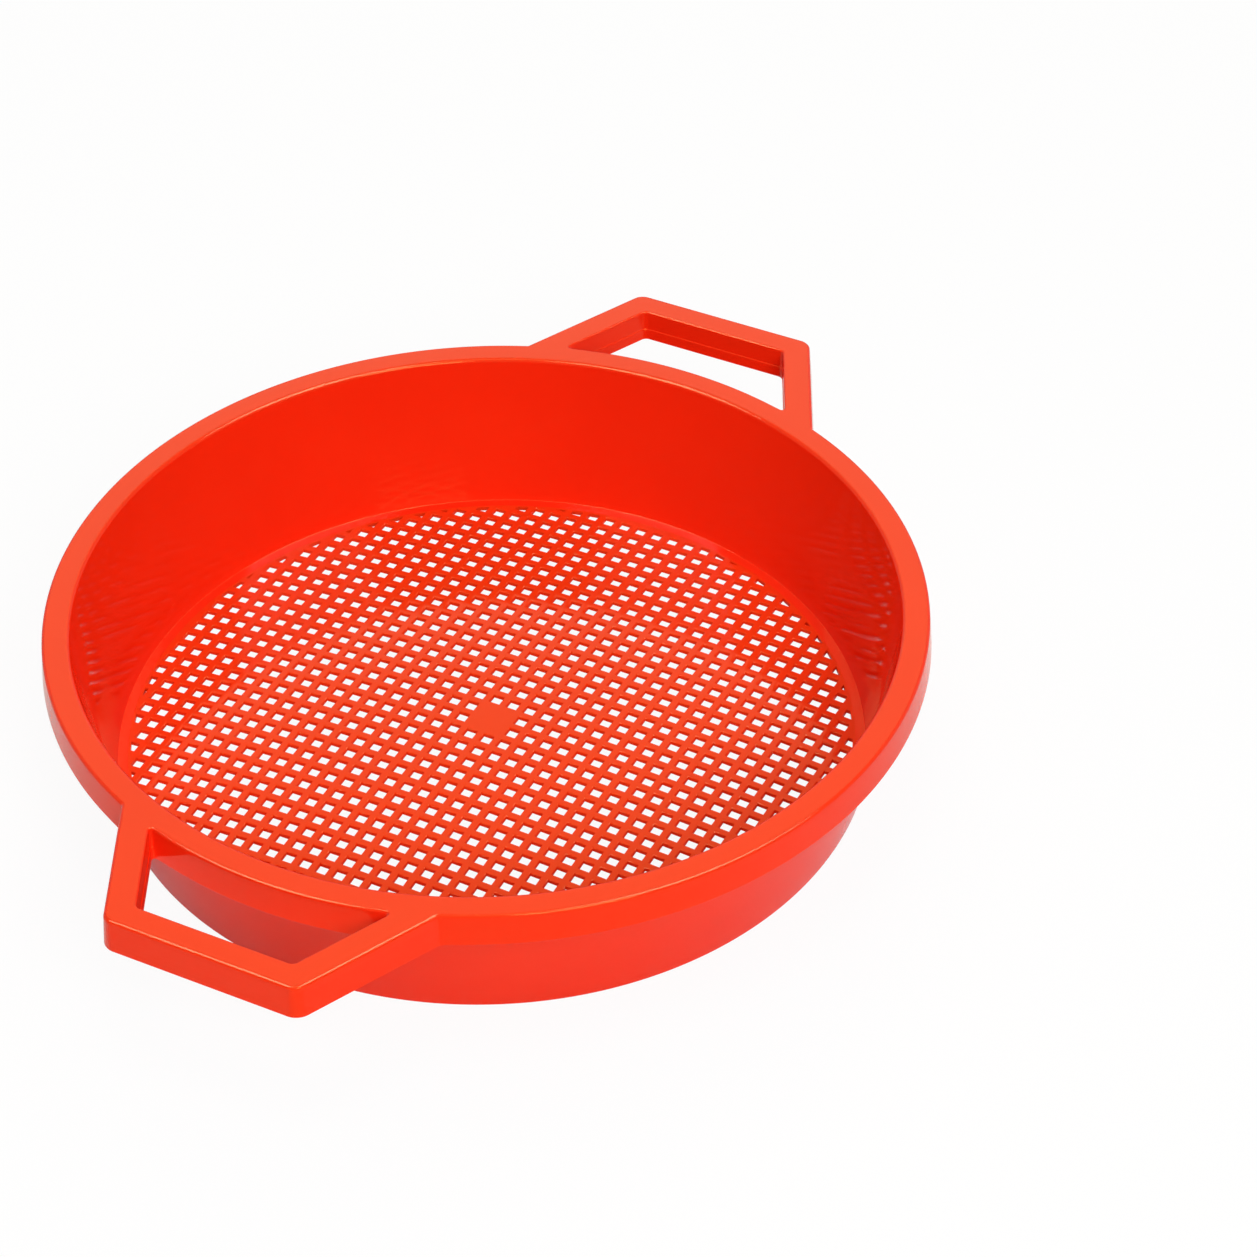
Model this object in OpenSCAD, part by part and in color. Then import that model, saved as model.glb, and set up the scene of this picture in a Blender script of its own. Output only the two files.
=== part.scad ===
// Sand sieve: a round moulded tub with a crowned mesh floor, a turned-down rim and two loop handles.
// Millimetres, +Z up. The origin is on the ground under the middle of the tub. The handles lie along X.

/* [Tub] */
// Outer diameter of the rim, across its flat top
rim_d = 320; // [260:1:400]
// Height of the rim's top face above the ground
tub_h = 62.5; // [40:0.5:100]
// Outer diameter of the tub on the ground
base_d = 280; // [220:1:290]
// Thickness of the side wall, measured level
wall_t = 1.9; // [1.2:0.1:3]
// Thickness of the floor's solid border
floor_t = 1.8; // [1.6:0.1:3]
// Radius of the tub's lower edge
foot_r = 0.8; // [0.2:0.1:1.2]

/* [Rim] */
// Width of the flat flange, from the mouth to the rim's outer edge
flange_w = 9.8; // [6:0.2:14]
// Thickness of the flange and of the handles' top
flange_t = 1.8; // [1.6:0.1:3]
// Height of the skirt, measured from the flange's top
skirt_h = 12.8; // [8:0.2:20]
// Thickness of the skirt
skirt_t = 1.6; // [1.2:0.1:2.4]
// How far the skirt leans out at its lower edge
skirt_lean = 1; // [0:0.1:2]
// Radius of the outer top edge of the rim and the handles
edge_r = 1.2; // [0.4:0.1:1.5]
// Radius of the edge between the flange and the inside wall
mouth_r = 1.6; // [0.4:0.1:1.6]

/* [Mesh floor] */
// Spacing of the mesh holes, centre to centre
mesh_pitch = 7; // [6:0.5:12]
// Side of a square mesh hole
hole_w = 4.2; // [2:0.1:5]
// Thickness of the mesh
mesh_t = 1.3; // [0.8:0.1:1.5]
// Rise of the mesh from its edge to its middle
crown_h = 6; // [1:0.5:12]
// Width of the plain floor between the side wall and the holes
border_w = 4.7; // [3:0.1:12]
// Plain lip that the mesh keeps round its outermost holes
mesh_lip = 1; // [0.5:0.1:2]
// Shortest hole that the round border may leave
least_hole = 0.6; // [0.2:0.1:2]
// Holes left solid each way from the middle, where the plastic was injected
gate_cells = 1; // [0:1:3]

/* [Handles] */
// Reach of a handle past the rim's edge
handle_reach = 38; // [28:0.5:60]
// Length of the grip along its outer side, corner to corner
grip_l = 74; // [60:1:120]
// Angle between a handle's arm and the X axis
arm_angle = 26; // [10:1:35]
// Width of the grip
grip_w = 9; // [6:0.5:14]
// Width of an arm
arm_w = 10; // [6:0.5:14]
// Radius of a handle's outer corners
corner_r = 5; // [4:0.5:8]
// Radius of the corners of the finger opening
opening_r = 2.5; // [1:0.5:5]
// Width of the eased top edge of the finger opening
opening_ease = 0.8; // [0.2:0.1:1.2]

/* [Hidden] */
// Cuts run this far past the faces they pass through
overrun = 1;
// Round faces are drawn with this many sides, and the handles' corners and edges with fewer
$fn = 180;
dome_sides = 720;
corner_sides = 48;
edge_sides = 16;
// The arms' lines are drawn inwards as far as this share of the rim's radius
root_share = 0.75;
plastic = [0.93, 0.21, 0.1];

rim_r = rim_d / 2;
base_r = base_d / 2;
inlet_r = rim_r - flange_w;
wall_slope = (inlet_r + wall_t - base_r) / tub_h;
lean_slope = skirt_lean / skirt_h;
flange_z = tub_h - flange_t;
skirt_z = tub_h - skirt_h;
mesh_r = wall_x(floor_t) - wall_t - border_w;
plate_r = mesh_r + mesh_lip;
dome_r = (plate_r * plate_r + crown_h * crown_h) / (2 * crown_h);
crown_z = floor_t + crown_h;
cells = ceil(mesh_r / mesh_pitch);
tip_x = rim_r + handle_reach;
root_x = rim_r * root_share;

// Radius of the side wall's outer face at a height
function wall_x(z) = base_r + wall_slope * z;
// Radius of the rim skirt's outer face at a height
function skirt_x(z) = rim_r + lean_slope * (tub_h - z);
// Middle of a row of mesh holes, and the near edge of that row
function row_at(i) = (i + 0.5) * mesh_pitch;
function row_edge(i) = row_at(i) - hole_w / 2;
// Half width of a handle at x, its arms drawn in by an inset
function arm_y(x, inset) = grip_l / 2 + (tip_x - x) * tan(arm_angle) - inset / cos(arm_angle);
function unit(v) = v / norm(v);

// What rounding takes off a profile's corner p, whose sides run along u and v
module corner_cut(p, u, v, r) {
  half_angle = acos(u * v) / 2;
  inwards = unit(u + v);
  centre = p + inwards * r / sin(half_angle);
  run = r / tan(half_angle);
  difference() {
    polygon([p - inwards * overrun, p + u * run, centre, p + v * run]);
    translate(centre) circle(r = r);
  }
}

// What rounding takes off the rim's outer top edge
module rim_edge_cut() {
  corner_cut([rim_r, tub_h], [-1, 0], unit([lean_slope, -1]), edge_r);
}

// The tapered wall between the floor and the flange
module side_wall() {
  color(plastic)
    rotate_extrude()
      polygon([
        [wall_x(floor_t) - wall_t, floor_t],
        [wall_x(floor_t), floor_t],
        [wall_x(flange_z), flange_z],
        [wall_x(flange_z) - wall_t, flange_z]
      ]);
}

// The flat ring round the mouth, rounded on both edges
module rim_flange() {
  color(plastic)
    rotate_extrude()
      difference() {
        polygon([
          [wall_x(flange_z) - wall_t, flange_z],
          [skirt_x(flange_z), flange_z],
          [rim_r, tub_h],
          [inlet_r, tub_h]
        ]);
        rim_edge_cut();
        corner_cut([inlet_r, tub_h], [1, 0], unit([-wall_slope, -1]), mouth_r);
      }
}

// The lip that turns down from the flange
module rim_skirt() {
  color(plastic)
    rotate_extrude()
      polygon([
        [skirt_x(skirt_z) - skirt_t, skirt_z],
        [skirt_x(skirt_z), skirt_z],
        [skirt_x(flange_z), flange_z],
        [skirt_x(flange_z) - skirt_t, flange_z]
      ]);
}

// The solid ring of the floor, which the tub stands on
module floor_border() {
  color(plastic)
    rotate_extrude()
      difference() {
        polygon([
          [plate_r, 0],
          [base_r, 0],
          [wall_x(floor_t), floor_t],
          [plate_r, floor_t]
        ]);
        corner_cut([base_r, 0], [-1, 0], unit([wall_slope, 1]), foot_r);
      }
}

// The square holes of one quarter of the mesh, cut short by the round border
module quarter_holes() {
  intersection() {
    circle(r = mesh_r);
    for (i = [0 : cells - 1], j = [0 : cells - 1])
      if (max(i, j) >= gate_cells && norm([row_edge(i), row_edge(j)]) < mesh_r - least_hole)
        translate([row_at(i), row_at(j)])
          square(hole_w, center = true);
  }
}

// A ball that has the mesh's crown as its top
module crown_ball(r) {
  translate([0, 0, crown_z - dome_r])
    sphere(r = r, $fn = dome_sides);
}

// One quarter of the mesh, between the two bars that cross in the middle
module mesh_quarter() {
  difference() {
    intersection() {
      linear_extrude(height = crown_z + overrun)
        difference() {
          intersection() {
            circle(r = plate_r);
            square(plate_r + overrun);
          }
          quarter_holes();
        }
      crown_ball(dome_r);
    }
    crown_ball(dome_r - mesh_t);
  }
}

module mesh_back_right() {
  color(plastic) mesh_quarter();
}

module mesh_back_left() {
  color(plastic) mirror([1, 0, 0]) mesh_quarter();
}

module mesh_front_right() {
  color(plastic) mirror([0, 1, 0]) mesh_quarter();
}

module mesh_front_left() {
  color(plastic) mirror([1, 0, 0]) mirror([0, 1, 0]) mesh_quarter();
}

// Everything inside the rim's outer face
module rim_core() {
  rotate_extrude()
    difference() {
      union() {
        polygon([
          [0, skirt_z - overrun],
          [skirt_x(skirt_z - overrun), skirt_z - overrun],
          [rim_r, tub_h],
          [0, tub_h]
        ]);
        square([rim_r - flange_w / 2, tub_h + overrun]);
      }
      rim_edge_cut();
    }
}

// Stands a post in each corner of a handle, drawn in from its outline, and fills the space between them
module loop(grip_in, arm_in, r) {
  hull()
    for (x = [tip_x - grip_in - r, root_x], side = [-1, 1])
      translate([x, side * arm_y(x, arm_in + r), 0])
        children();
}

// A corner of the handle's outside: rounded on top and leaning out towards its lower edge
module outer_post(r) {
  translate([0, 0, tub_h - edge_r])
    rotate_extrude($fn = corner_sides)
      translate([r - edge_r, 0])
        circle(r = edge_r, $fn = edge_sides);
  translate([0, 0, skirt_z])
    cylinder(h = skirt_h - edge_r, r1 = r + skirt_lean, r2 = r, $fn = corner_sides);
}

// A post from below the skirt up to a height, leaning out at its foot
module post(r, top_z, lean) {
  foot_z = skirt_z - overrun;
  translate([0, 0, foot_z])
    cylinder(h = top_z - foot_z, r1 = r + lean, r2 = r, $fn = corner_sides);
}

// The channel in the handle's underside, between its outer and inner skirts
module handle_channel() {
  outer_r = corner_r - skirt_t;
  inner_r = opening_r + skirt_t;
  difference() {
    loop(skirt_t, skirt_t, outer_r)
      post(outer_r, flange_z, skirt_lean);
    loop(grip_w - skirt_t, arm_w - skirt_t, inner_r)
      post(inner_r, tub_h, 0);
  }
}

// The finger opening, with its top edge eased
module finger_opening() {
  loop(grip_w, arm_w, opening_r)
    post(opening_r, tub_h + overrun, 0);
  loop(grip_w, arm_w, opening_r)
    translate([0, 0, tub_h - opening_ease])
      cylinder(
        h = opening_ease + overrun,
        r1 = opening_r,
        r2 = opening_r + opening_ease + overrun,
        $fn = corner_sides
      );
}

// The loop on the +X side
module handle() {
  difference() {
    loop(0, 0, corner_r)
      outer_post(corner_r);
    handle_channel();
    finger_opening();
    rim_core();
  }
}

module right_handle() {
  color(plastic) handle();
}

module left_handle() {
  color(plastic) mirror([1, 0, 0]) handle();
}

side_wall();
rim_flange();
rim_skirt();
floor_border();
mesh_front_left();
mesh_front_right();
mesh_back_left();
mesh_back_right();
left_handle();
right_handle();
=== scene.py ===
"""Looks of the sand sieve: its moulded pieces, their finish, a pale studio and the camera."""

import logging
import math
from dataclasses import dataclass
from enum import Enum, IntEnum
from typing import Callable, Sequence

import bmesh
import bpy
from bmesh.types import BMEdge, BMFace, BMesh, BMVert
from mathutils import Matrix, Vector


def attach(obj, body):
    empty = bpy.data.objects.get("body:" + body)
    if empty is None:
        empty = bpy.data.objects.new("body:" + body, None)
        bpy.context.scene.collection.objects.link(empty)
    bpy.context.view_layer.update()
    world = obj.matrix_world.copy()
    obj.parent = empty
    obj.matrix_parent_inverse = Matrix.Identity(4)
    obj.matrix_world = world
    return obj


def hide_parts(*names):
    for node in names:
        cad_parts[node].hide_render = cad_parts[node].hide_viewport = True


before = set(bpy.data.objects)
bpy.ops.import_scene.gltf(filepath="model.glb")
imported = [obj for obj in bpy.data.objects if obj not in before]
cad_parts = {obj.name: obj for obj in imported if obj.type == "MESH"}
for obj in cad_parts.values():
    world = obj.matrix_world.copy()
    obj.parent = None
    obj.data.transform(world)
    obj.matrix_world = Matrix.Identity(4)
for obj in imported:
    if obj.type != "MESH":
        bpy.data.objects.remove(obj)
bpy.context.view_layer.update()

log = logging.getLogger("sieve")

# Meshes are drawn in millimetres and brought to metres when they become objects
METRE = 0.001
# Points closer than the first become one, and a cut snaps to points closer than the second
WELD_MM = 0.0005
SNAP_MM = 0.0001
BODY = "root"


def linear(colour: str) -> tuple[float, float, float, float]:
    """Turn an sRGB hex colour into linear light, by the numbers of the sRGB standard.

    Args:
        colour: six hex digits after a hash sign.

    Returns:
        Linear red, green and blue, and an alpha of one.
    """
    parts = [int(colour[i:i + 2], 16) / 255 for i in (1, 3, 5)]
    red, green, blue = (c / 12.92 if c <= 0.04045 else ((c + 0.055) / 1.055) ** 2.4 for c in parts)
    return red, green, blue, 1.0


def add_node(tree: bpy.types.NodeTree, kind: str, inputs: dict, **settings) -> bpy.types.Node:
    """Add a node to a tree.

    Args:
        tree: the tree that gets the node.
        kind: the node's type name.
        inputs: a value, or another node's output, for each input by name or number.
        settings: the node's own properties.

    Returns:
        The new node.
    """
    node = tree.nodes.new(kind)
    for name, value in settings.items():
        setattr(node, name, value)
    for socket, value in inputs.items():
        if isinstance(value, bpy.types.NodeSocket):
            tree.links.new(value, node.inputs[socket])
        else:
            node.inputs[socket].default_value = value
    return node


@dataclass(frozen=True)
class Sieve:
    """Sizes that several pieces of the sieve share, in millimetres."""

    rim_r: float = 160
    height: float = 62.5
    base_r: float = 140
    wall_t: float = 1.9
    floor_t: float = 1.8
    flange_w: float = 9.8
    flange_t: float = 1.8
    skirt_h: float = 12.8
    skirt_t: float = 1.6
    skirt_lean: float = 1
    edge_r: float = 1.2
    plate_r: float = 134.75
    steps: int = 360

    @property
    def flange_z(self) -> float:
        """Height of the flange's underside."""
        return self.height - self.flange_t

    @property
    def skirt_z(self) -> float:
        """Height of the skirt's lower edge."""
        return self.height - self.skirt_h

    def wall_x(self, z: float) -> float:
        """Radius of the side wall's outer face at a height."""
        top = self.rim_r - self.flange_w + self.wall_t
        return self.base_r + (top - self.base_r) * z / self.height

    def skirt_x(self, z: float) -> float:
        """Radius of the rim skirt's outer face at a height."""
        return self.rim_r + self.skirt_lean * (self.height - z) / self.skirt_h


@dataclass(frozen=True)
class Corner:
    """A corner of an outline, and the radius that rounds it."""

    x: float
    y: float
    radius: float = 0


def draw_outline(
    mesh: BMesh,
    corners: Sequence[Corner],
    place: Callable[[float, float], Vector],
    closed: bool,
    arc_steps: int,
) -> list[BMEdge]:
    """Draw an outline as loose edges and round its corners.

    Args:
        mesh: the mesh that gets the edges.
        corners: the outline's corners in order.
        place: turns a corner's x and y into a point in space.
        closed: whether the last corner joins the first.
        arc_steps: edges in each rounded corner.

    Returns:
        The outline's edges.
    """
    known = set(mesh.edges)
    points = [place(c.x, c.y) for c in corners]
    verts = [mesh.verts.new(p) for p in points]
    count = len(verts)
    for i in range(count if closed else count - 1):
        mesh.edges.new((verts[i], verts[(i + 1) % count]))
    for i, corner in enumerate(corners):
        if not corner.radius:
            continue
        before = points[i] - points[i - 1]
        after = points[(i + 1) % count] - points[i]
        bmesh.ops.bevel(
            mesh,
            geom=[verts[i]],
            offset=corner.radius * math.tan(before.angle(after) / 2),
            offset_type="OFFSET",
            segments=arc_steps,
            profile=0.5,
            affect="VERTICES",
            clamp_overlap=False,
            material=-1,
        )
    return [e for e in mesh.edges if e not in known]


def round_edges(mesh: BMesh, edges: Sequence[BMEdge], radius: float, segments: int) -> None:
    """Round edges of a mesh.

    Args:
        mesh: the mesh that holds the edges.
        edges: the edges to round.
        radius: radius of the rounding.
        segments: faces across the rounding.
    """
    bmesh.ops.bevel(
        mesh,
        geom=list(edges),
        offset=radius,
        offset_type="OFFSET",
        segments=segments,
        profile=0.5,
        affect="EDGES",
        clamp_overlap=True,
        material=-1,
    )


@dataclass(frozen=True)
class MouldedPolypropylene:
    """Injection-moulded polypropylene, dyed through and moulded against a polished tool.

    The eye sees one clean orange-red, a clear gloss, long lazy waves in the reflections where the
    wall shrank unevenly, and a faint cloudiness where the melt flowed.
    """

    name: str = "moulded_polypropylene_red"
    colour: str = "#F12B0D"
    flow_colour: str = "#E9250B"
    gloss_tint: str = "#FFE37C"
    gloss: float = 0.28
    ior: float = 1.49
    roughness_low: float = 0.045
    roughness_high: float = 0.075
    # Width of a noise's lumps, its octaves of finer noise, and how deep two of them dent the face
    flow_mm: float = 45
    flow_detail: float = 3
    wave_mm: float = 26
    wave_detail: float = 1
    wave_depth_mm: float = 0.025
    grain_mm: float = 1.1
    grain_detail: float = 2
    grain_depth_mm: float = 0.004

    def build(self) -> bpy.types.Material:
        """Make the material.

        Returns:
            The finished material.
        """
        material = bpy.data.materials.new(self.name)
        material.use_nodes = True
        tree = material.node_tree
        tree.nodes.clear()
        place = add_node(tree, "ShaderNodeTexCoord", {}).outputs["Object"]

        flow = self.noise(tree, place, self.flow_mm, self.flow_detail)
        # Inputs by number, because this node's colour sockets share their names with others
        colour = add_node(
            tree, "ShaderNodeMix",
            {0: flow, 6: linear(self.colour), 7: linear(self.flow_colour)}, data_type="RGBA",
        )
        grain = self.noise(tree, place, self.grain_mm, self.grain_detail)
        waves = self.noise(tree, place, self.wave_mm, self.wave_detail)
        roughness = add_node(
            tree, "ShaderNodeMapRange",
            {"Value": flow, "To Min": self.roughness_low, "To Max": self.roughness_high},
        )
        wavy = add_node(
            tree, "ShaderNodeBump",
            {"Height": waves, "Strength": 1.0, "Distance": self.wave_depth_mm * METRE},
        )
        grainy = add_node(
            tree, "ShaderNodeBump",
            {
                "Height": grain, "Strength": 1.0, "Distance": self.grain_depth_mm * METRE,
                "Normal": wavy.outputs["Normal"],
            },
        )
        plastic = add_node(
            tree, "ShaderNodeBsdfPrincipled",
            {
                "Base Color": colour.outputs[2],
                "Roughness": roughness.outputs["Result"],
                "Normal": grainy.outputs["Normal"],
                "IOR": self.ior,
                "Specular IOR Level": self.gloss,
                "Specular Tint": linear(self.gloss_tint),
            },
        )
        add_node(tree, "ShaderNodeOutputMaterial", {"Surface": plastic.outputs["BSDF"]})
        return material

    def noise(
        self, tree: bpy.types.NodeTree, place: bpy.types.NodeSocket, size_mm: float, detail: float
    ) -> bpy.types.NodeSocket:
        """Add a noise whose lumps have a real size.

        Args:
            tree: the material's tree.
            place: the coordinates that it reads.
            size_mm: width of a lump.
            detail: octaves of finer noise in it.

        Returns:
            The noise's value output.
        """
        inputs = {"Vector": place, "Scale": 1 / (size_mm * METRE), "Detail": detail}
        return add_node(tree, "ShaderNodeTexNoise", inputs).outputs["Fac"]


@dataclass(frozen=True)
class ThinPolypropyleneWithPaintedLight(MouldedPolypropylene):
    """The same plastic in the thin bars of the mesh.

    Their colour is painted more orange than the walls' for the light that passes through them,
    and they shine less, perhaps because the tool was less polished between its many pins.
    """

    name: str = "moulded_polypropylene_red_thin"
    # Painted light: more orange than the walls' colour, standing in for light passing through the
    # thin bars
    colour: str = "#EB390F"
    flow_colour: str = "#E5320C"
    gloss: float = 0.15


@dataclass
class Moulding:
    """What every piece of the sieve has in common: the shared sizes, the finish and the shading."""

    sieve: Sieve
    finish: bpy.types.Material
    # Edges in each rounded corner of an outline
    arc_steps: int = 6
    # Angle in degrees above which an edge stays sharp
    sharp: float = 40

    def turn(self, corners: Sequence[Corner]) -> BMesh:
        """Turn a closed outline round the sieve's axis.

        Args:
            corners: the outline, each corner a radius and a height.

        Returns:
            The closed ring.
        """
        mesh = bmesh.new()
        edges = draw_outline(mesh, corners, lambda x, y: Vector((x, 0, y)), True, self.arc_steps)
        verts = list({v for e in edges for v in e.verts})
        bmesh.ops.spin(
            mesh, geom=verts + edges, cent=(0, 0, 0), axis=(0, 0, 1), angle=math.tau,
            steps=self.sieve.steps, use_merge=True,
        )
        return mesh

    def dress(self, mesh: BMesh, name: str, nodes: Sequence[str]) -> bpy.types.Object:
        """Make an object of a finished mesh, and let it stand for its CAD nodes.

        Args:
            mesh: the mesh, which is freed.
            name: the piece's name.
            nodes: the CAD nodes it stands for.

        Returns:
            The piece.
        """
        bmesh.ops.remove_doubles(mesh, verts=mesh.verts, dist=WELD_MM)
        bmesh.ops.recalc_face_normals(mesh, faces=mesh.faces)
        for face in mesh.faces:
            face.smooth = True
        for edge in mesh.edges:
            edge.smooth = edge.calc_face_angle(0) < math.radians(self.sharp)
        bmesh.ops.scale(mesh, vec=(METRE,) * 3, verts=mesh.verts)
        open_edges = sum(not e.is_manifold for e in mesh.edges)
        data = bpy.data.meshes.new(name)
        mesh.to_mesh(data)
        mesh.free()
        data.materials.append(self.finish)
        piece = bpy.data.objects.new(name, data)
        bpy.context.scene.collection.objects.link(piece)
        shading = piece.modifiers.new("even_shading", "WEIGHTED_NORMAL")
        shading.keep_sharp = True
        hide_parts(*nodes)
        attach(piece, BODY)
        log.info("%s: %d faces, %d open edges", name, len(data.polygons), open_edges)
        return piece


@dataclass
class Tub(Moulding):
    """The tapered side wall and the plain ring of the floor under it."""

    foot_r: float = 0.8
    crease_r: float = 0.3

    def side_wall(self) -> bpy.types.Object:
        """Build the wall, with the soft crease at its foot.

        Returns:
            The piece.
        """
        s = self.sieve
        low, high = s.floor_t, s.flange_z
        slope = math.atan2(s.wall_x(high) - s.wall_x(low), high - low)
        run = self.crease_r * math.tan((math.pi / 2 - slope) / 2)
        foot_x = s.wall_x(low) - s.wall_t
        corners = [
            Corner(s.wall_x(low), low),
            Corner(s.wall_x(high), high),
            Corner(s.wall_x(high) - s.wall_t, high),
            Corner(foot_x, low, self.crease_r),
            Corner(foot_x - run, low),
        ]
        return self.dress(self.turn(corners), "side_wall_moulding", ["side_wall"])

    def floor_border(self) -> bpy.types.Object:
        """Build the ring that the sieve stands on.

        Returns:
            The piece.
        """
        s = self.sieve
        corners = [
            Corner(s.plate_r, 0),
            Corner(s.base_r, 0, self.foot_r),
            Corner(s.wall_x(s.floor_t), s.floor_t),
            Corner(s.plate_r, s.floor_t),
        ]
        return self.dress(self.turn(corners), "floor_border_moulding", ["floor_border"])


@dataclass
class Rim(Moulding):
    """The flat flange round the mouth and the skirt that turns down from it."""

    mouth_r: float = 1.6
    lip_r: float = 0.5
    # The flange lies this much under the handles' tops, so that no two faces share a plane
    flush: float = 0.015

    def flange(self) -> bpy.types.Object:
        """Build the flange, rounded on both edges.

        Returns:
            The piece.
        """
        s = self.sieve
        top = s.height - self.flush
        corners = [
            Corner(s.wall_x(s.flange_z) - s.wall_t, s.flange_z),
            Corner(s.skirt_x(s.flange_z), s.flange_z),
            Corner(s.rim_r, top, s.edge_r),
            Corner(s.rim_r - s.flange_w, top, self.mouth_r),
        ]
        return self.dress(self.turn(corners), "rim_flange_moulding", ["rim_flange"])

    def skirt(self) -> bpy.types.Object:
        """Build the skirt, its lower edge slightly rounded.

        Returns:
            The piece.
        """
        s = self.sieve
        corners = [
            Corner(s.skirt_x(s.skirt_z) - s.skirt_t, s.skirt_z, self.lip_r),
            Corner(s.skirt_x(s.skirt_z), s.skirt_z, self.lip_r),
            Corner(s.skirt_x(s.flange_z), s.flange_z),
            Corner(s.skirt_x(s.flange_z) - s.skirt_t, s.flange_z),
        ]
        return self.dress(self.turn(corners), "rim_skirt_moulding", ["rim_skirt"])


@dataclass
class MeshFloor(Moulding):
    """The crowned plate of square holes, cut short by the round border."""

    pitch: float = 7
    hole: float = 4.2
    thickness: float = 1.6
    crown: float = 6
    holes_r: float = 133.75
    least_hole: float = 0.6
    gate_cells: int = 1
    bar_edge_r: float = 0.4
    bar_segments: int = 2
    # An edge of the top face turns down by more degrees than this, the plate's own curve by fewer
    turn_down: float = 45
    # The plate runs this far into the border, and its round edge has this many sides
    tuck: float = 0.15
    sides: int = 180
    # High enough to shade the rounded bars smoothly
    sharp: float = 50

    def build(self) -> bpy.types.Object:
        """Build the mesh from a grid: open the holes, trim it round, crown it and thicken it.

        Returns:
            The piece.
        """
        cells = math.ceil(self.holes_r / self.pitch)
        mesh = bmesh.new()
        across = 2 * cells
        bmesh.ops.create_grid(mesh, x_segments=across, y_segments=across, size=cells * self.pitch)
        squares = list(mesh.faces)
        bmesh.ops.inset_individual(
            mesh, faces=squares, thickness=(self.pitch - self.hole) / 2, use_even_offset=True
        )
        holes = [part for square in squares for part in self.hole_parts(mesh, square)]
        bmesh.ops.delete(mesh, geom=holes, context="FACES")
        self.trim(mesh)
        for vert in mesh.verts:
            vert.co.z = self.crown_z(vert.co.xy.length)
        lower = bmesh.ops.extrude_face_region(mesh, geom=mesh.faces[:])["geom"]
        bmesh.ops.translate(
            mesh, verts=[g for g in lower if isinstance(g, BMVert)], vec=(0, 0, -self.thickness)
        )
        bmesh.ops.recalc_face_normals(mesh, faces=mesh.faces)
        bars = [e for e in mesh.edges if self.on_top(e) and self.in_whole_hole(e)]
        round_edges(mesh, bars, self.bar_edge_r, self.bar_segments)
        nodes = [f"mesh_{row}_{side}" for row in ("front", "back") for side in ("left", "right")]
        return self.dress(mesh, "mesh_floor_moulding", nodes)

    def hole_parts(self, mesh: BMesh, square: BMFace) -> list[BMFace]:
        """Find what is open of one square of the mesh, and cut it where the border crosses it.

        Args:
            mesh: the flat grid.
            square: the inset face of one cell.

        Returns:
            The faces to open: none where the plate stays solid.
        """
        reach = [v.co.xy.length for v in square.verts]
        middle = square.calc_center_median()
        if max(abs(middle.x), abs(middle.y)) < self.gate_cells * self.pitch:
            return []
        if min(reach) > self.holes_r - self.least_hole:
            return []
        if max(reach) < self.holes_r:
            return [square]
        outwards = middle.xy.to_3d().normalized()
        cut = bmesh.ops.bisect_plane(
            mesh, geom=[square, *square.edges, *square.verts],
            plane_co=outwards * self.holes_r, plane_no=outwards, dist=SNAP_MM,
        )
        faces = [g for g in cut["geom"] if isinstance(g, BMFace)]
        return [f for f in faces if f.calc_center_median().dot(outwards) < self.holes_r]

    def trim(self, mesh: BMesh) -> None:
        """Cut the grid to a disc, side by side.

        Args:
            mesh: the flat grid.
        """
        edge_r = self.sieve.plate_r + self.tuck
        for i in range(self.sides):
            angle = math.tau * i / self.sides
            outwards = Vector((math.cos(angle), math.sin(angle), 0))
            near = [f for f in mesh.faces if max(v.co.dot(outwards) for v in f.verts) > edge_r]
            geom = {g for f in near for g in (f, *f.edges, *f.verts)}
            bmesh.ops.bisect_plane(
                mesh, geom=list(geom), plane_co=outwards * edge_r, plane_no=outwards, dist=SNAP_MM,
                clear_outer=True,
            )

    def crown_z(self, radius: float) -> float:
        """Height of the mesh's top at a distance from the middle."""
        edge_r = self.sieve.plate_r
        ball_r = (edge_r ** 2 + self.crown ** 2) / (2 * self.crown)
        return self.sieve.floor_t + self.crown - ball_r + math.sqrt(ball_r ** 2 - radius ** 2)

    def on_top(self, edge: BMEdge) -> bool:
        """Tell whether an edge is where a bar's top face turns down into a hole.

        Args:
            edge: an edge of the mesh.

        Returns:
            True for a sharp edge of the top face.
        """
        depth = max(self.crown_z(v.co.xy.length) - v.co.z for v in edge.verts)
        return depth < self.thickness / 2 and edge.calc_face_angle(0) > math.radians(self.turn_down)

    def in_whole_hole(self, edge: BMEdge) -> bool:
        """Tell whether an edge lies in a cell whose hole the border leaves whole.

        Args:
            edge: an edge of the mesh.

        Returns:
            True where the far corner of the cell's hole is inside the border.
        """
        middle = (edge.verts[0].co + edge.verts[1].co) / 2
        centre = [(math.floor(abs(m) / self.pitch) + 0.5) * self.pitch for m in middle.xy]
        return math.hypot(*(c + self.hole / 2 for c in centre)) < self.holes_r


class Side(Enum):
    """The sides that carry a handle, as turns round the sieve's axis."""

    RIGHT = 0.0
    LEFT = math.pi


class Line(IntEnum):
    """The courses whose edges are rounded, by their place round the handle's section."""

    OUTER_LOW = 0
    OUTER_TOP = 1
    OPENING_TOP = 2
    OPENING_LOW = 5


@dataclass(frozen=True)
class Course:
    """A line that runs along a handle from root to root, at one place of its section.

    It lies some way in from the handle's outline, at the grip and at the arms, and its two corners
    at the grip are rounded. At its roots it turns along the rim: outwards for a flare of 1, inwards
    for -1.
    """

    grip_in: float
    arm_in: float
    z: float
    tip_r: float
    flare: int


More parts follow.
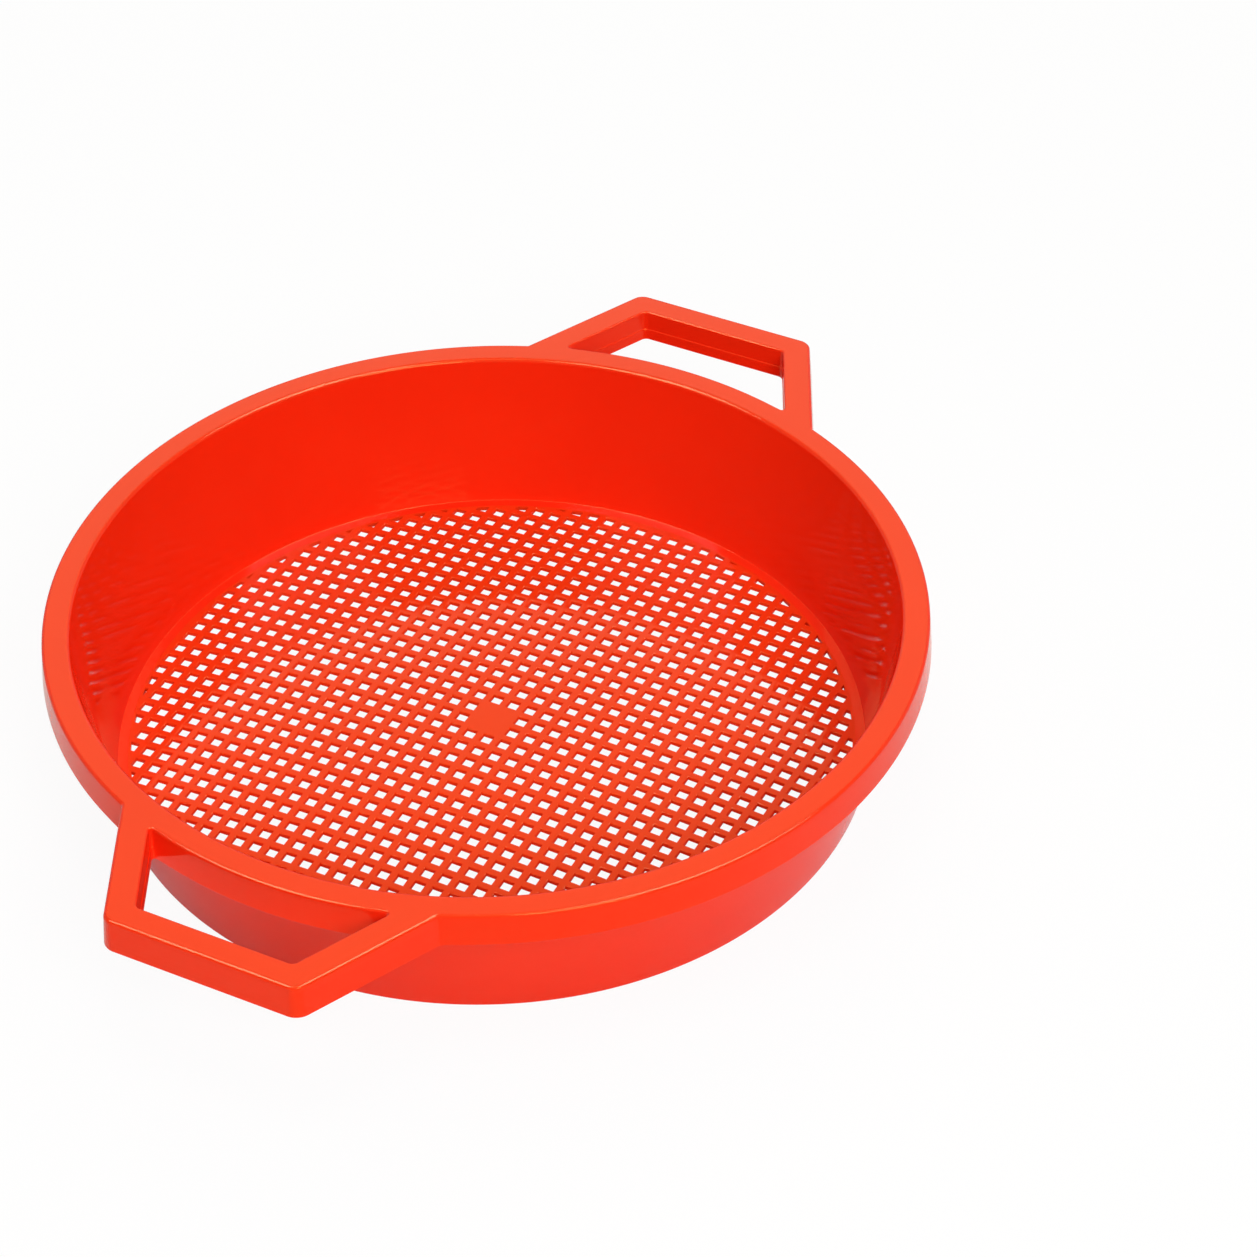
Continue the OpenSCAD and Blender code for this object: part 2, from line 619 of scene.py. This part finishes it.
@dataclass
class Handle(Moulding):
    """A trapezoid loop of channel section that grows out of the rim."""

    reach: float = 38
    grip_l: float = 74
    arm_angle: float = 26
    grip_w: float = 10
    arm_w: float = 10.5
    corner_r: float = 5
    opening_r: float = 2.5
    root_r: float = 1.2
    # Radius of the opening's top edge and of the lower lips, and faces across each rounding
    opening_edge_r: float = 0.8
    lip_r: float = 0.35
    outer_segments: int = 5
    opening_segments: int = 4
    lip_segments: int = 2
    # A fine ledge in the finger opening, where the two halves of the tool met
    ledge_depth: float = 8
    ledge_h: float = 0.32
    ledge_w: float = 0.22
    # How far a course runs along the rim past its root, and how deep it then lies in the rim's wall
    flare_l: float = 9
    skin: float = 0.2
    bury: float = 1.5
    top_bury: float = 5
    # Low enough to keep the ledge crisp
    sharp: float = 30

    def build(self, side: Side) -> bpy.types.Object:
        """Build a handle by bridging the courses of its section.

        Args:
            side: which side of the sieve it is on.

        Returns:
            The piece.
        """
        mesh = bmesh.new()
        courses = self.courses()
        lines = [
            draw_outline(
                mesh, self.corners(c), lambda x, y, z=c.z: Vector((x, y, z)), False, self.arc_steps
            )
            for c in courses
        ]
        strips = [
            bmesh.ops.bridge_loops(mesh, edges=line + lines[(i + 1) % len(lines)])["faces"]
            for i, line in enumerate(lines)
        ]
        # The top becomes one flat face, so that rounding its edges has room at the roots
        bmesh.ops.dissolve_faces(mesh, faces=strips[Line.OUTER_TOP])
        ends = [e for e in mesh.edges if e.is_boundary]
        bmesh.ops.holes_fill(mesh, edges=ends, sides=len(courses))
        bmesh.ops.recalc_face_normals(mesh, faces=mesh.faces)
        outer_low, outer_top, opening_top, opening_low = (self.outside(lines[i]) for i in Line)
        round_edges(mesh, outer_top, self.sieve.edge_r, self.outer_segments)
        round_edges(mesh, opening_top, self.opening_edge_r, self.opening_segments)
        round_edges(mesh, outer_low + opening_low, self.lip_r, self.lip_segments)
        turn = Matrix.Rotation(side.value, 3, "Z")
        bmesh.ops.rotate(mesh, verts=mesh.verts, cent=(0, 0, 0), matrix=turn)
        name = side.name.lower()
        return self.dress(mesh, f"{name}_handle_moulding", [f"{name}_handle"])

    def courses(self) -> list[Course]:
        """List the courses round the channel section.

        Returns:
            The courses, from the outer skirt's lower edge over the top, down the opening and back
            through the channel.
        """
        s = self.sieve
        lean, wall = s.skirt_lean, s.skirt_t
        grip, arm, step = self.grip_w, self.arm_w, self.ledge_w
        ledge_z = s.height - self.ledge_depth
        corner, opening = self.corner_r, self.opening_r
        return [
            Course(-lean, -lean, s.skirt_z, corner + lean, 1),
            Course(0, 0, s.height, corner, 1),
            Course(grip, arm, s.height, opening, -1),
            Course(grip, arm, ledge_z, opening, -1),
            Course(grip + step, arm + step, ledge_z - self.ledge_h, opening, -1),
            Course(grip + step, arm + step, s.skirt_z, opening, -1),
            Course(grip - wall, arm - wall, s.skirt_z, opening + wall, -1),
            Course(grip - wall, arm - wall, s.flange_z, opening + wall, -1),
            Course(wall, wall, s.flange_z, corner - wall, 1),
            Course(wall - lean, wall - lean, s.skirt_z, corner - wall + lean, 1),
        ]

    def corners(self, course: Course) -> list[Corner]:
        """Work out a course's corners from root to root.

        Args:
            course: the course to draw.

        Returns:
            Its corners, in plan.
        """
        rim = self.sieve.skirt_x(course.z)
        tip_x = self.sieve.rim_r + self.reach
        slope = math.tan(math.radians(self.arm_angle))
        # The arm's line is y = start - slope * x, and it meets the rim where x, y lie on its circle
        start = self.grip_l / 2 + tip_x * slope - course.arm_in * math.sqrt(1 + slope ** 2)
        square = 1 + slope ** 2
        root_x = (start * slope + math.sqrt(square * rim ** 2 - start ** 2)) / square
        root_y = start - slope * root_x
        grip_x = tip_x - course.grip_in
        grip_y = start - slope * grip_x
        angle = math.atan2(root_y, root_x) + course.flare * self.flare_l / rim
        deep = rim - (self.top_bury if course.z == self.sieve.height else self.bury)
        shallow = rim - self.skin
        half = [
            Corner(deep * math.cos(angle), deep * math.sin(angle)),
            Corner(shallow * math.cos(angle), shallow * math.sin(angle)),
            Corner(root_x, root_y, self.root_r),
            Corner(grip_x, grip_y, course.tip_r),
        ]
        return half + [Corner(c.x, -c.y, c.radius) for c in reversed(half)]

    def outside(self, line: Sequence[BMEdge]) -> list[BMEdge]:
        """Leave out the ends of a course, which lie in the rim's wall."""
        buried = self.sieve.rim_r - self.bury / 2
        return [e for e in line if min(v.co.xy.length for v in e.verts) > buried]


@dataclass(frozen=True)
class PhotoCamera:
    """The camera that took the picture, fitted to the outlines of the rim, foot and handles.

    The azimuth is measured from +X. Lengths are in millimetres, and clipping distances in metres.
    """

    azimuth: float = 207.329
    elevation: float = 40.186
    roll: float = 0.781
    distance: float = 1411.37
    aim_z: float = 31.2
    aim_right: float = -50.964
    aim_down: float = 15.523
    focal_px: float = 3849.9
    frame_px: float = 1257
    sensor_mm: float = 36
    clip_near: float = 0.05
    clip_far: float = 50

    def build(self) -> bpy.types.Object:
        """Make the camera and let the scene use it.

        Returns:
            The camera.
        """
        angles = (self.azimuth, self.elevation, self.roll)
        azimuth, elevation, roll = (math.radians(a) for a in angles)
        level = Vector((math.cos(azimuth), math.sin(azimuth), 0))
        back = level * math.cos(elevation) + Vector((0, 0, math.sin(elevation)))
        flat_right = Vector((-level.y, level.x, 0))
        flat_down = back.cross(flat_right) * -1
        right = flat_right * math.cos(roll) + flat_down * math.sin(roll)
        down = flat_down * math.cos(roll) - flat_right * math.sin(roll)
        aim = Vector((0, 0, self.aim_z))
        place = aim + back * self.distance - right * self.aim_right - down * self.aim_down
        turn = Matrix((right, -down, back)).transposed().to_4x4()

        lens = bpy.data.cameras.new("photo_camera")
        lens.sensor_width = self.sensor_mm
        lens.lens = self.focal_px / self.frame_px * self.sensor_mm
        lens.clip_start, lens.clip_end = self.clip_near, self.clip_far
        camera = bpy.data.objects.new("photo_camera", lens)
        camera.matrix_world = Matrix.Translation(place * METRE) @ turn
        bpy.context.scene.collection.objects.link(camera)
        bpy.context.scene.camera = camera
        return camera


@dataclass(frozen=True)
class Softbox:
    """A square lamp that points at the sieve, its azimuth from +X and its lengths in metres.

    A lamp for glints shows only in the gloss, as thin lines along rounded edges, and adds no light.
    """

    name: str
    azimuth: float
    elevation: float
    distance: float
    width: float
    power: float
    colour: str = "#FFFFFF"
    glints_only: bool = False

    def build(self) -> bpy.types.Object:
        """Make the lamp.

        Returns:
            The lamp.
        """
        data = bpy.data.lights.new(self.name, "AREA")
        data.shape = "SQUARE"
        data.size = self.width
        data.energy = self.power
        data.color = linear(self.colour)[:3]
        azimuth, elevation = math.radians(self.azimuth), math.radians(self.elevation)
        away = Vector((
            math.cos(azimuth) * math.cos(elevation),
            math.sin(azimuth) * math.cos(elevation),
            math.sin(elevation),
        ))
        turn = away.to_track_quat("Z", "Y").to_matrix().to_4x4()
        lamp = bpy.data.objects.new(self.name, data)
        lamp.visible_diffuse = not self.glints_only
        lamp.matrix_world = Matrix.Translation(away * self.distance) @ turn
        bpy.context.scene.collection.objects.link(lamp)
        return lamp


@dataclass(frozen=True)
class Studio:
    """A white room: an even sky, softboxes, lamps for glints and a pale floor with a faint shadow.

    The sky is the strength that lights the sieve. The floor's lengths are in metres, and it glows
    by one share for a ray from the camera and by another for a mirrored one.
    """

    sky: float = 0.4
    floor_colour: str = "#F0F0F0"
    floor_size: float = 12
    floor_gap: float = 0.0004
    floor_glow: float = 0.93
    floor_shine: float = 0.08
    lamps: tuple[Softbox, ...] = (
        Softbox("key_softbox", azimuth=228, elevation=38, distance=2.4, width=1.0, power=33),
        Softbox("top_softbox", azimuth=206, elevation=80, distance=1.8, width=0.8, power=6),
        Softbox(
            "back_bank", azimuth=27, elevation=48, distance=2.4, width=1.7, power=13,
            colour="#FFEDC0",
        ),
        Softbox(
            "left_glint", azimuth=138, elevation=59, distance=1.8, width=1.0, power=90,
            colour="#BCC2FF", glints_only=True,
        ),
        Softbox(
            "right_glint", azimuth=282, elevation=64, distance=1.8, width=1.0, power=92,
            colour="#BCC2FF", glints_only=True,
        ),
    )

    def build(self) -> None:
        """Make the world, the lamps and the floor."""
        scene = bpy.context.scene
        scene.view_settings.view_transform = "Standard"
        scene.world = bpy.data.worlds.new("white_room")
        scene.world.use_nodes = True
        tree = scene.world.node_tree
        tree.nodes.clear()
        seen = self.seen(tree, direct=1.0, mirrored=1.0)
        strength = add_node(
            tree, "ShaderNodeMapRange", {"Value": seen, "To Min": self.sky, "To Max": 1.0}
        )
        sky = add_node(
            tree, "ShaderNodeBackground",
            {"Color": (1, 1, 1, 1), "Strength": strength.outputs["Result"]},
        )
        add_node(tree, "ShaderNodeOutputWorld", {"Surface": sky.outputs["Background"]})
        for lamp in self.lamps:
            lamp.build()
        self.floor()

    def seen(
        self, tree: bpy.types.NodeTree, direct: float, mirrored: float
    ) -> bpy.types.NodeSocket:
        """Add what tells the rays that show the background from those that light the sieve.

        Args:
            tree: the tree that gets the nodes.
            direct: share for a ray from the camera.
            mirrored: share for a glossy or transmission ray.

        Returns:
            The ray's share, which is zero for any other ray.
        """
        path = add_node(tree, "ShaderNodeLightPath", {})
        shiny = add_node(
            tree, "ShaderNodeMath",
            {0: path.outputs["Is Glossy Ray"], 1: path.outputs["Is Transmission Ray"]},
            operation="MAXIMUM",
        )
        shine = add_node(
            tree, "ShaderNodeMath", {0: shiny.outputs[0], 1: mirrored}, operation="MULTIPLY"
        )
        return add_node(
            tree, "ShaderNodeMath",
            {0: path.outputs["Is Camera Ray"], 1: direct, 2: shine.outputs[0]},
            operation="MULTIPLY_ADD",
        ).outputs[0]

    def floor(self) -> bpy.types.Object:
        """Make the floor, which is clear from below.

        Returns:
            The floor.
        """
        material = bpy.data.materials.new("pale_floor")
        material.use_nodes = True
        tree = material.node_tree
        tree.nodes.clear()
        matt = add_node(tree, "ShaderNodeBsdfDiffuse", {"Color": linear(self.floor_colour)})
        glow = add_node(tree, "ShaderNodeEmission", {"Color": (1, 1, 1, 1), "Strength": 1.0})
        share = self.seen(tree, self.floor_glow, self.floor_shine)
        pale = add_node(
            tree, "ShaderNodeMixShader",
            {0: share, 1: matt.outputs["BSDF"], 2: glow.outputs["Emission"]},
        )
        clear = add_node(tree, "ShaderNodeBsdfTransparent", {})
        under = add_node(tree, "ShaderNodeNewGeometry", {}).outputs["Backfacing"]
        both = add_node(
            tree, "ShaderNodeMixShader",
            {0: under, 1: pale.outputs["Shader"], 2: clear.outputs["BSDF"]},
        )
        add_node(tree, "ShaderNodeOutputMaterial", {"Surface": both.outputs["Shader"]})

        mesh = bmesh.new()
        bmesh.ops.create_grid(mesh, x_segments=1, y_segments=1, size=self.floor_size / 2)
        bmesh.ops.translate(mesh, verts=mesh.verts, vec=(0, 0, -self.floor_gap))
        data = bpy.data.meshes.new("floor")
        mesh.to_mesh(data)
        mesh.free()
        data.materials.append(material)
        floor = bpy.data.objects.new("floor", data)
        bpy.context.scene.collection.objects.link(floor)
        return floor


def main() -> None:
    """Build the studio and the sieve's pieces in order."""
    logging.basicConfig(level=logging.INFO, format="%(name)s: %(message)s")
    PhotoCamera().build()
    Studio().build()
    sieve = Sieve()
    plastic = MouldedPolypropylene().build()
    tub = Tub(sieve, plastic)
    tub.side_wall()
    tub.floor_border()
    rim = Rim(sieve, plastic)
    rim.flange()
    rim.skirt()
    MeshFloor(sieve, ThinPolypropyleneWithPaintedLight().build()).build()
    handle = Handle(sieve, plastic)
    for side in Side:
        handle.build(side)


if __name__ == "__main__":
    main()
